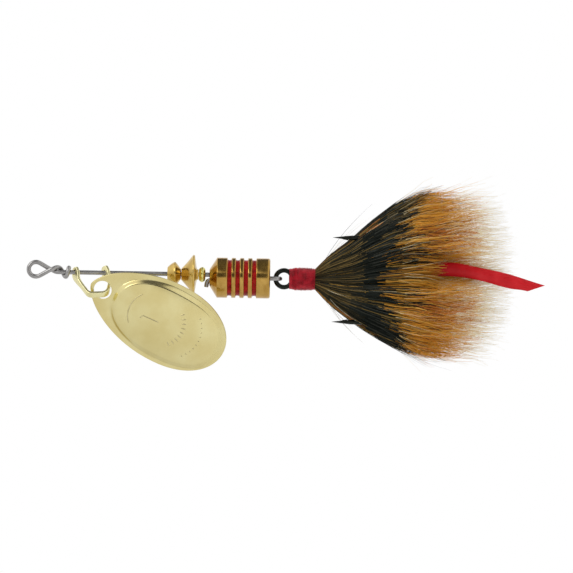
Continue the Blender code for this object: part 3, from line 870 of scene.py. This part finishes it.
def barb(tip, out, verts, faces):
    """A sliver cut up from the inner side of the spear, leaning away from the point."""
    up = np.array((0.0, 0.0, 1.0))
    side = np.cross(out, up)
    root = tip - up * 2.0 - out * 0.14
    knots = [root + up * 0.55, root + up * 0.18 - out * 0.10, root - up * 0.28 - out * 0.30]
    sections = [oval_section(width * 0.5, width, 8) for width in BARB_HALF_WIDTHS]
    append_solid(verts, faces, swept(knots, sections, side))


def build_treble():
    bronze = bronze_finish()
    right, right_taper, right_tip, right_out = hook_points(SHANK_SIDE, 0.0, radians(-30))
    left, left_taper, left_tip, left_out = hook_points(-SHANK_SIDE, 0.0, radians(-150))
    ring = []
    ring_steps = 44
    first, last = radians(-90 + RING_OPEN), radians(270 - RING_OPEN)
    for k in range(ring_steps + 1):
        turn = first + (last - first) * k / ring_steps
        ring.append(np.array((TREBLE_X + RING_R * cos(turn), 0.0, RING_Z + RING_R * sin(turn))))
    run_in = (ring[0][0] - TREBLE_X - SHANK_SIDE) / tan(radians(RING_OPEN))
    neck = [np.array((TREBLE_X + SHANK_SIDE + 0.06, 0.0, ring[0][2] - run_in + 0.05)),
            np.array((TREBLE_X + SHANK_SIDE, 0.0, ring[0][2] - run_in - 0.25))]
    mirrored = [np.array((2 * TREBLE_X - p[0], 0.0, p[2])) for p in neck]
    points = list(reversed(right)) + list(reversed(neck)) + ring + mirrored + left
    tapers = list(reversed(right_taper)) + [1.0] * (len(ring) + 4) + left_taper
    verts, faces = wire(points, HOOK_WIRE_D, 18, tapers, (0.2, 1.0, 0.0))
    barb(right_tip, right_out, verts, faces)
    barb(left_tip, left_out, verts, faces)
    double = mesh_object("treble_double_forged", verts, faces, bronze)
    back, back_taper, back_tip, back_out = hook_points(0.0, SHANK_BACK, radians(90))
    start = np.array((TREBLE_X, SHANK_BACK, RING_Z - 2.0))
    verts, faces = wire([start] + back, HOOK_WIRE_D, 18, [1.0] + back_taper, (1.0, 0.2, 0.0))
    barb(back_tip, back_out, verts, faces)
    single = mesh_object("treble_single_forged", verts, faces, bronze)
    for piece, replaced in ((double, "treble_double_hook"), (single, "treble_single_hook")):
        outward_faces(piece)
        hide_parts(replaced)
        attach(piece, "treble")


def build_thread_wrap():
    """A barrel of thread: a base layer, and a close helix of single turns over it."""
    red = thread_finish()
    heights = np.linspace(THREAD[0][1], THREAD[-1][1], 40)
    outside = [(radius_at(THREAD, z) - 0.01, z) for z in heights]
    inside = [(1.02, THREAD[-1][1]), (1.02, THREAD[0][1] - 1.0), (1.28, THREAD[0][1])]
    base = mesh_object("thread_base", *turned(outside + inside, TREBLE_X, 72), red)
    outward_faces(base)
    rng = np.random.default_rng(7)
    turns = (THREAD[0][1] - THREAD[-1][1]) / THREAD_PITCH
    count = int(turns * 40)
    knots = int(turns) + 2
    along = np.linspace(0, turns, count)
    wander = np.interp(along, np.arange(knots), rng.normal(0, 0.022, knots))
    swell = np.interp(along, np.arange(0, knots, 0.5), rng.normal(0, 0.016, 2 * knots))
    points = []
    for k in range(count):
        share = k / (count - 1)
        z = THREAD[0][1] + (THREAD[-1][1] - THREAD[0][1]) * share + wander[k]
        turn = 2 * pi * turns * share
        radius = radius_at(THREAD, z) + 0.02 + swell[k]
        points.append((TREBLE_X + radius * cos(turn), radius * sin(turn), z))
    section = oval_section(THREAD_R * 0.75, THREAD_R * 1.05, 7)
    turns_piece = mesh_object("thread_turns", *swept(points, [section] * count, (1, 0, 0)), red)
    outward_faces(turns_piece)
    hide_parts("thread_wrap")
    for piece in (base, turns_piece):
        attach(piece, "treble")


# ---------------------------------------------------------------- hair

def strip_at(z):
    """The strip's x and y at an array of heights."""
    route = np.array(smooth_route(STRIP_ROUTE, 6))[::-1]
    return np.interp(z, route[:, 2], route[:, 0]), np.interp(z, route[:, 2], route[:, 1])


def strand_paths(rng, azimuth, spread_out, end_z, knots):
    """Points of each hair, shape (hairs, knots, 3): from the thread out along the tuft's fan."""
    t = np.linspace(0, 1, knots)[None, :] ** 0.92
    z = HAIR_ROOT_Z + (end_z[:, None] - HAIR_ROOT_Z) * t
    inner, outer = radius_at(HAIR_CORE, z), radius_at(HAIR_EDGE, z)
    reach = inner + (outer - inner) * spread_out[:, None]
    angle = np.radians(azimuth[:, None] + rng.normal(0, 4.0, (len(azimuth), 1)) * t ** 1.5)
    return np.stack([reach * np.cos(angle), reach * np.sin(angle) * radius_at(HAIR_DEPTH, z), z], axis=2)


def seats_round_thread(rng, azimuth, fullness):
    """How far out each hair leans, 0 to 1; hairs over the strip stay lower than the rest."""
    spread_out = rng.uniform(0.0, 1.0, len(azimuth)) ** fullness
    beside = smooth_step(np.abs((azimuth + 270.0) % 360.0 - 180.0) / HAIR_PARTING)
    return spread_out * (0.50 + 0.50 * beside)


def in_locks(rng, paths, azimuth, spread_out):
    """Draws hairs together into wavy locks that open again at their tips; gives each hair's lock."""
    seats = np.stack([rng.uniform(azimuth.min(), azimuth.max(), LOCKS),
                      np.sqrt(rng.uniform(0.02, 1, LOCKS))], 1)
    gap = (np.stack([azimuth, spread_out], 1)[:, None] - seats[None]) * np.array([1 / 60.0, 1.0])
    lock = np.argmin(np.linalg.norm(gap, axis=2), axis=1)
    down = HAIR_ROOT_Z - paths[:, :, 2]
    gather = 0.62 * smooth_step((down - 4.0) / 10.0) * (1 - 0.45 * smooth_step((down - 19.0) / 6.0))
    for k in range(LOCKS):
        mine = lock == k
        if mine.sum() < 3:
            continue
        middle = paths[mine][:, :, :2].mean(axis=0)
        drawn = rng.uniform(0.3, 1.0, mine.sum())[:, None, None] * gather[mine][:, :, None]
        paths[mine, :, :2] += (middle[None] - paths[mine][:, :, :2]) * drawn
        swing = rng.uniform(0.10, 0.38, 2) * smooth_step((down[mine] - 6.0) / 12.0)[:, :, None]
        wave = 2 * pi * down[mine][:, :, None] / rng.uniform(5.5, 9.5, 2) + rng.uniform(0, 2 * pi, 2)
        paths[mine, :, :2] += swing * np.sin(wave)
    return lock


def frizzed(rng, paths, size, splay):
    """Each hair's own waves, and the way its tip turns out of the lock."""
    hairs, knots, _ = paths.shape
    down = HAIR_ROOT_Z - paths[:, :, 2]
    for axis in (0, 1):
        wave = 2 * pi * down / rng.uniform(2.6, 6.0, (hairs, 1)) + rng.uniform(0, 2 * pi, (hairs, 1))
        grown = smooth_step((down - 5.0) / 14.0)
        paths[:, :, axis] += size * rng.uniform(0.3, 1.0, (hairs, 1)) * np.sin(wave) * grown
        late = np.linspace(0, 1, knots)[None, :]
        paths[:, :, axis] += rng.normal(0, splay, (hairs, 1)) * np.clip((late - 0.62) / 0.38, 0, 1) ** 1.6
    outward = paths[:, :, :2] / np.maximum(np.linalg.norm(paths[:, :, :2], axis=2, keepdims=True), 1.0)
    grown = np.clip((down - 15.0) / 10.0, 0, 1.2) ** 1.5
    paths[:, :, :2] += outward * np.abs(rng.normal(0, 0.55, (hairs, 1, 1))) * grown[:, :, None]
    return paths


def swayed(paths):
    """Moves hairs sideways with the middle of the tuft, which hangs slightly off the treble's line."""
    paths[:, :, 0] += radius_at(HAIR_SWAY, paths[:, :, 2]) - TREBLE_X
    return paths


def under_strip(rng, paths):
    """Hairs near the red strip pass behind it, first a few and then all of them."""
    strip_x, strip_y = strip_at(paths[:, :, 2])
    away = np.abs(paths[:, :, 0] + TREBLE_X - strip_x)
    near = 1 - smooth_step((away - STRIP_W / 2 - 0.15) / 1.8)
    first = -45.0 - 9.0 * rng.uniform(size=(len(paths), 1)) ** 0.9
    share = near * smooth_step((first - paths[:, :, 2]) / 4.0)
    behind = strip_y + 0.42 + 0.9 * rng.uniform(size=(len(paths), 1)) ** 2
    depth = np.minimum(behind - paths[:, :, 1], 14.0)
    paths[:, :, 1] += np.where(depth > 0, depth * share, 0.0)
    return paths


def hair_tones(rng, paths, lock, azimuth, spread_out):
    """Material index for every stretch of every hair, from its lock and how far down it lies."""
    middle = (paths[:, 1:] + paths[:, :-1]) / 2
    x = middle[:, :, 0]
    depth = HAIR_ROOT_Z - middle[:, :, 2]
    outer = radius_at(HAIR_EDGE, middle[:, :, 2])
    side = np.clip(np.abs(x) / outer, 0, 1.1)
    hairs, stretches = depth.shape
    jitter = rng.normal(0, 0.8, (hairs, 1))
    pick = rng.uniform(size=(hairs, 1))
    tail = middle[:, :, 2] - paths[:, -1:, 2]
    lean = np.cos(np.radians(azimuth)) * spread_out
    lock_lean = np.array([lean[lock == k].mean() if (lock == k).any() else 0.0 for k in range(LOCKS)])
    lock_x = lock_lean[lock][:, None]
    lock_shift = rng.normal(0, 1.0, LOCKS)[lock][:, None]
    barred = np.exp(-((np.abs(lock_x + 0.02) - 0.28) / 0.18) ** 2)
    rusted = np.exp(-((np.abs(lock_x) - 0.42) / 0.17) ** 2)

    def chance(share):
        return rng.uniform(size=(hairs, 1)) < share

    tones = np.where(chance(0.36), TONE["hair_honey"], TONE["hair_amber"]) * np.ones((1, stretches), int)
    rusty = (depth + jitter > 15.0 + lock_shift) & chance(0.10 + 0.70 * rusted)
    tones = np.where(rusty, TONE["hair_rust"], tones)
    foot = 9.6 + jitter * 0.9 + lock_shift * 0.7 + 5.2 * side ** 1.7
    foot = foot + np.where(chance(0.08 + 0.66 * barred), rng.uniform(3.5, 8.5, (hairs, 1)), 0)
    # some dark stretches take the grey tone: partly grey hairs, partly painted sheen on the black band
    dark = np.where(chance(0.22), TONE["hair_grey_sheen"], TONE["hair_black"])
    tones = np.where(depth < foot, dark, tones)
    barring = (depth > foot - 3.6) & (depth < foot - 1.2) & chance(0.30)
    tones = np.where(barring & (depth > 9.5), TONE["hair_olive"], tones)
    top = 5.9 + jitter * 1.1 - 3.0 * side ** 2
    root = np.where(chance(0.30), TONE["hair_olive"],
                    np.where(chance(0.40), TONE["hair_black"], TONE["hair_umber"]))
    root = np.where(chance(0.05), TONE["hair_honey"], root)
    tones = np.where(depth < top, root, tones)
    tones = np.where((side > 0.90) & (depth < 9.0) & chance(0.55),
                     np.where(chance(0.5), TONE["hair_rust"], TONE["hair_olive"]), tones)
    tones = np.where((pick > 0.04) & (pick < 0.10) & (depth < 13), TONE["hair_olive"], tones)
    tones = np.where((pick > 0.10) & (pick < 0.108) & (depth < 12) & (depth > 6), TONE["hair_cream"], tones)
    cream = (tail < 2.2 + jitter) & (depth > 18.0 + jitter) & chance(0.8)
    tones = np.where(cream | (depth > 23.4 + jitter), TONE["hair_cream"], tones)
    return np.where((tail < 1.1) & (depth > 19.5) & chance(0.7), TONE["hair_pale"], tones)


def strand_mesh(name, paths, widths, tones, finishes):
    """Three-sided tapering hairs, all in one piece."""
    hairs, knots, _ = paths.shape
    tangent = np.gradient(paths, axis=1)
    tangent /= np.maximum(np.linalg.norm(tangent, axis=2, keepdims=True), 1e-9)
    lead = np.cross(tangent, np.array((0.31, 0.87, 0.38)))
    lead /= np.maximum(np.linalg.norm(lead, axis=2, keepdims=True), 1e-9)
    other = np.cross(tangent, lead)
    corners = []
    for k in range(3):
        turn = 2 * pi * k / 3
        corners.append(paths + (lead * cos(turn) + other * sin(turn)) * widths[:, :, None] / 2)
    verts = np.stack(corners, axis=2).reshape(-1, 3)
    first = (np.arange(hairs)[:, None] * knots + np.arange(knots - 1)[None, :]) * 3
    quads = []
    for k in range(3):
        j = (k + 1) % 3
        quads.append(np.stack([first + k, first + j, first + 3 + j, first + 3 + k], axis=2))
    quads = np.stack(quads, axis=2).reshape(-1, 4)
    quad_tones = np.repeat(tones.reshape(-1), 3)
    starts = np.arange(hairs) * knots * 3
    ends = starts + (knots - 1) * 3
    caps = np.concatenate([np.stack([starts + 2, starts + 1, starts], 1),
                           np.stack([ends, ends + 1, ends + 2], 1)])
    cap_tones = np.concatenate([tones[:, 0], tones[:, -1]])
    loops = np.concatenate([quads.reshape(-1), caps.reshape(-1)]).astype(np.int32)
    totals = np.concatenate([np.full(len(quads), 4), np.full(len(caps), 3)]).astype(np.int32)
    mesh = bpy.data.meshes.new(name)
    mesh.vertices.add(len(verts))
    places = verts * MM + np.array((TREBLE_X * MM, 0, 0))
    mesh.vertices.foreach_set("co", places.astype(np.float32).reshape(-1))
    mesh.loops.add(len(loops))
    mesh.loops.foreach_set("vertex_index", loops)
    mesh.polygons.add(len(totals))
    mesh.polygons.foreach_set("loop_start", np.concatenate([[0], np.cumsum(totals)[:-1]]).astype(np.int32))
    for one in finishes:
        mesh.materials.append(one)
    mesh.update(calc_edges=True)
    mesh.polygons.foreach_set("material_index", np.concatenate([quad_tones, cap_tones]).astype(np.int32))
    mesh.shade_smooth()
    mesh.update()
    return add_object(name, mesh)


def hair_widths(rng, paths, thick):
    """Width at each knot: slightly narrow at the root, and tapering over the outer half."""
    hairs, knots, _ = paths.shape
    t = np.linspace(0, 1, knots)[None, :]
    base = thick * rng.uniform(0.7, 1.3, (hairs, 1))
    taper = 1 - 0.80 * smooth_step((t - 0.50) / 0.5)
    return base * (0.75 + 0.25 * smooth_step(t / 0.2)) * taper


def add_hair(name, rng, paths, thick, tones, finishes, replaced=None):
    piece = strand_mesh(name, paths, hair_widths(rng, paths, thick), tones, finishes)
    if replaced:
        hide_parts(replaced)
    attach(piece, "treble")


def build_hair():
    finishes = hair_finishes()
    hairs = HAIRS_A_BUNDLE
    for number, start in enumerate((-150, -30, 90)):
        rng = np.random.default_rng(40 + number)
        azimuth = start + 120 * rng.uniform(size=hairs)
        spread_out = seats_round_thread(rng, azimuth, 0.60)
        side = np.abs(np.cos(np.radians(azimuth))) * spread_out
        end_z = HAIR_TIP_Z + 3.0 * side ** 2.2 + 9.2 * (1 - rng.uniform(size=hairs) ** 3.2)
        paths = strand_paths(rng, azimuth, spread_out, end_z, 13)
        lock = in_locks(rng, paths, azimuth, spread_out)
        paths = under_strip(rng, swayed(frizzed(rng, paths, 0.13, 0.60)))
        tones = hair_tones(rng, paths, lock, azimuth, spread_out)
        name = "hair_bundle_%d" % (number + 1)
        add_hair(name + "_strands", rng, paths, 0.098, tones, finishes, name)
    build_guard_hair(finishes)


def build_guard_hair(finishes):
    """Loose hairs along the tuft's outline, fine wisps beyond its tips, and a few strays near the root."""
    rng = np.random.default_rng(77)
    hairs = GUARD_HAIRS
    azimuth = rng.uniform(-180, 180, hairs)
    spread_out = rng.uniform(0.90, 1.03, hairs)
    paths = strand_paths(rng, azimuth, spread_out, rng.uniform(-58.5, -51.0, hairs), 12)
    paths = swayed(frizzed(rng, paths, 0.10, 0.9))
    depth = HAIR_ROOT_Z - (paths[:, 1:, 2] + paths[:, :-1, 2]) / 2
    tones = np.full(depth.shape, TONE["hair_black"])
    # the grey tone here is partly painted sheen on black hairs
    for stretch, share, tone in ((depth < 6.5, 0.6, "hair_umber"), (depth < 7.0, 0.2, "hair_olive"),
                                 (depth > 8, 0.5, "hair_grey_sheen"), (depth > 12, 0.35, "hair_cream")):
        tones = np.where(stretch & (rng.uniform(size=(hairs, 1)) < share), TONE[tone], tones)
    add_hair("guard_hairs", rng, paths, 0.070, tones, finishes)
    azimuth = rng.uniform(-180, 180, WISPS)
    spread_out = seats_round_thread(rng, azimuth, 0.55)
    side = np.abs(np.cos(np.radians(azimuth))) * spread_out
    end_z = WISP_TIP_Z + 3.8 * side ** 2.2 + 4.0 * rng.uniform(size=WISPS)
    paths = strand_paths(rng, azimuth, spread_out, end_z, 14)
    paths = under_strip(rng, swayed(frizzed(rng, paths, 0.16, 1.3)))
    depth = HAIR_ROOT_Z - (paths[:, 1:, 2] + paths[:, :-1, 2]) / 2
    tones = np.full(depth.shape, TONE["hair_black"])
    for start, tone in ((12, "hair_amber"), (20, "hair_cream"), (24, "hair_pale")):
        tones = np.where(depth >= start, TONE[tone], tones)
    add_hair("wispy_hairs", rng, paths, 0.062, tones, finishes)
    routes = []
    for k in range(STRAYS):
        turn = radians(rng.uniform(-180, 180) if k >= OUTLINE_STRAYS else rng.uniform(-25, 15))
        root_z = rng.uniform(-40.6, -39.3)
        root = radius_at(HAIR_EDGE, root_z) - 0.35
        length = rng.uniform(3.5, 8.0)
        rise = rng.uniform(0.75, 1.6)
        bend = rng.uniform(-0.10, 0.10)
        route = []
        for t in np.linspace(0, 1, 10):
            reach = root + length * t * 0.72 * rise
            route.append((reach * cos(turn + bend * t), reach * sin(turn + bend * t),
                          root_z - length * t * (0.55 + 0.35 * t)))
        routes.append(route)
    paths = np.array(routes)
    tones = np.full((len(paths), 9), TONE["hair_pale"])
    # every third stray takes the grey tone, partly painted sheen
    tones[::3] = TONE["hair_grey_sheen"]
    add_hair("stray_hairs", rng, paths, 0.038, tones, finishes)


def build_strip():
    """The red strip: thin, slightly arched across, cut off at a slant."""
    route = [np.array(p) for p in smooth_route(STRIP_ROUTE, 10)]
    verts, faces = [], []
    columns = 13
    rows = len(route)
    for face in (-1, 1):
        for i, point in enumerate(route):
            along = route[min(i + 1, rows - 1)] - route[max(i - 1, 0)]
            along /= np.linalg.norm(along)
            across = np.cross((0.0, -1.0, 0.0), along)
            across /= np.linalg.norm(across)
            late = smooth_step((i - (rows - 12)) / 11)
            for c in range(columns):
                u = 2 * c / (columns - 1) - 1
                arch = -STRIP_ARCH * (1 - u * u)
                thick = STRIP_T / 2 * sqrt(max(0.0, 1 - u ** 6)) * face
                half = STRIP_W / 2 * (0.92 + 0.05 * sin(i * 0.21)) * (1 - 0.20 * late)
                verts.append(point + across * half * u + along * STRIP_END_SLANT * u * late
                             + np.array((0.0, 1.0, 0.0)) * (arch + thick))
    per = rows * columns
    for i in range(rows - 1):
        for c in range(columns - 1):
            a = i * columns + c
            faces.append((a, a + 1, a + columns + 1, a + columns))
            faces.append((per + a, per + a + columns, per + a + columns + 1, per + a + 1))
    for c in range(columns - 1):
        faces.append((c, per + c, per + c + 1, c + 1))
        a = (rows - 1) * columns + c
        faces.append((a, a + 1, per + a + 1, per + a))
    for i in range(rows - 1):
        a, b = i * columns, i * columns + columns - 1
        faces.append((a, a + columns, per + a + columns, per + a))
        faces.append((b, per + b, per + b + columns, b + columns))
    piece = mesh_object("vinyl_strip", verts, faces, vinyl_finish(), 50.0)
    outward_faces(piece)
    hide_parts("attractor_strip")
    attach(piece, "treble")


# ---------------------------------------------------------------- surroundings

def build_camera():
    roll = radians(VIEW_ROLL)
    right, up = Vector((sin(roll), 0, -cos(roll))), Vector((cos(roll), 0, sin(roll)))
    back = Vector((0, -1, 0))
    data = bpy.data.cameras.new("camera")
    data.sensor_width = SENSOR
    data.lens = SENSOR * CAMERA_AWAY / VIEW_WIDTH
    data.clip_start, data.clip_end = 0.05, 20.0
    made = add_object("camera", data)
    turned_axes = Matrix((right, up, back)).transposed().to_4x4()
    place = Vector((VIEW_CENTRE[0], 0.0, VIEW_CENTRE[1])) * MM + back * CAMERA_AWAY * MM
    made.matrix_world = Matrix.Translation(place) @ turned_axes
    bpy.context.scene.camera = made


def build_floor():
    bm = bmesh.new()
    bmesh.ops.create_circle(bm, cap_ends=True, segments=96, radius=FLOOR_R * MM)
    bmesh.ops.translate(bm, verts=bm.verts, vec=(0, 0, FLOOR_Z * MM))
    mesh = bpy.data.meshes.new("floor")
    bm.to_mesh(mesh)
    bm.free()
    pale = new_material("floor_paper", (0.93, 0.93, 0.92), 0.8)
    grain = noise(pale, object_coords(pale), 2.0, 3.0)
    finish_with(pale, ramp(pale, grain, ((0.3, (0.92, 0.92, 0.91)), (0.7, (0.94, 0.94, 0.93)))))
    mesh.materials.append(pale)
    floor = add_object("floor", mesh)


def build_world():
    """A white tent with three dark patches, which the polished metal mirrors.

    One is the opening towards the camera, one lies beyond the lure on its +X side, and a faint one
    lies past the tail. The camera itself sees plain white.
    """
    world = bpy.data.worlds.new("tent")
    world.use_nodes = True
    bpy.context.scene.world = world
    tree = world.node_tree
    tree.nodes.clear()
    coords = tree.nodes.new("ShaderNodeTexCoord")
    split = tree.nodes.new("ShaderNodeSeparateXYZ")
    tree.links.new(coords.outputs["Generated"], split.inputs[0])

    def math(kind, a, b=None):
        step = tree.nodes.new("ShaderNodeMath")
        step.operation = kind
        for socket, value in zip(step.inputs, (a, b)):
            if value is None:
                continue
            if hasattr(value, "is_output"):
                tree.links.new(value, socket)
            else:
                socket.default_value = value
        return step.outputs[0]

    x, y, z = split.outputs

    def dark_patch(*ranges):
        """1 in the middle of an ellipse of directions, 0 outside; each range is (output, middle, half)."""
        total = None
        for value, middle, half in ranges:
            off = math("MULTIPLY", math("SUBTRACT", value, middle), 1 / half)
            square = math("MULTIPLY", off, off)
            total = square if total is None else math("ADD", total, square)
        inside = tree.nodes.new("ShaderNodeMapRange")
        inside.interpolation_type = "SMOOTHSTEP"
        tree.links.new(math("SQRT", total), inside.inputs["Value"])
        for name, value in (("From Min", 0.72), ("From Max", 1.22), ("To Min", 1.0), ("To Max", 0.0)):
            inside.inputs[name].default_value = value
        return inside.outputs["Result"]

    opening = dark_patch((x, 0.27, 0.24), (z, 0.0, 0.62), (y, -1.0, 1.0))
    above = dark_patch((x, 0.95, 0.50), (z, -0.26, 0.52))
    tail_end = dark_patch((z, -1.0, 0.16))
    dark = math("MAXIMUM", opening, math("MULTIPLY", above, 0.97))
    dark = math("MAXIMUM", dark, math("MULTIPLY", tail_end, 0.6))
    open_share = math("SUBTRACT", 1.0, math("MULTIPLY", dark, 0.92))
    slope = math("ADD", 0.97, math("SUBTRACT", math("MULTIPLY", x, 0.22), math("MULTIPLY", z, 0.16)))
    light = math("MULTIPLY", open_share, slope)
    seen = tree.nodes.new("ShaderNodeLightPath")
    studio = tree.nodes.new("ShaderNodeBackground")
    tree.links.new(light, studio.inputs["Strength"])
    backdrop = tree.nodes.new("ShaderNodeBackground")
    backdrop.inputs["Strength"].default_value = 1.0
    for shader in (studio, backdrop):
        shader.inputs["Color"].default_value = (1.0, 1.0, 1.0, 1.0)
    choose = tree.nodes.new("ShaderNodeMixShader")
    tree.links.new(seen.outputs["Is Camera Ray"], choose.inputs[0])
    tree.links.new(studio.outputs[0], choose.inputs[1])
    tree.links.new(backdrop.outputs[0], choose.inputs[2])
    out = tree.nodes.new("ShaderNodeOutputWorld")
    tree.links.new(choose.outputs[0], out.inputs["Surface"])


def build_lamp():
    """A soft square lamp aimed at the middle of the lure."""
    data = bpy.data.lights.new("key", "AREA")
    data.size = LAMP_SIZE * MM
    data.energy = LAMP_STRENGTH * pi * (LAMP_SIZE * MM) ** 2
    made = add_object("key", data)
    made.location = Vector(LAMP_PLACE) * MM
    aim = Vector(LAMP_TARGET) - Vector(LAMP_PLACE)
    made.rotation_euler = aim.to_track_quat("-Z", "Y").to_euler()


def build_surroundings():
    build_camera()
    build_floor()
    build_world()
    build_lamp()
    bpy.context.scene.view_settings.view_transform = "Standard"


build_surroundings()
build_shaft_wire()
build_clevis()
build_blade()
build_beads()
build_body()
build_treble()
build_thread_wrap()
build_hair()
build_strip()
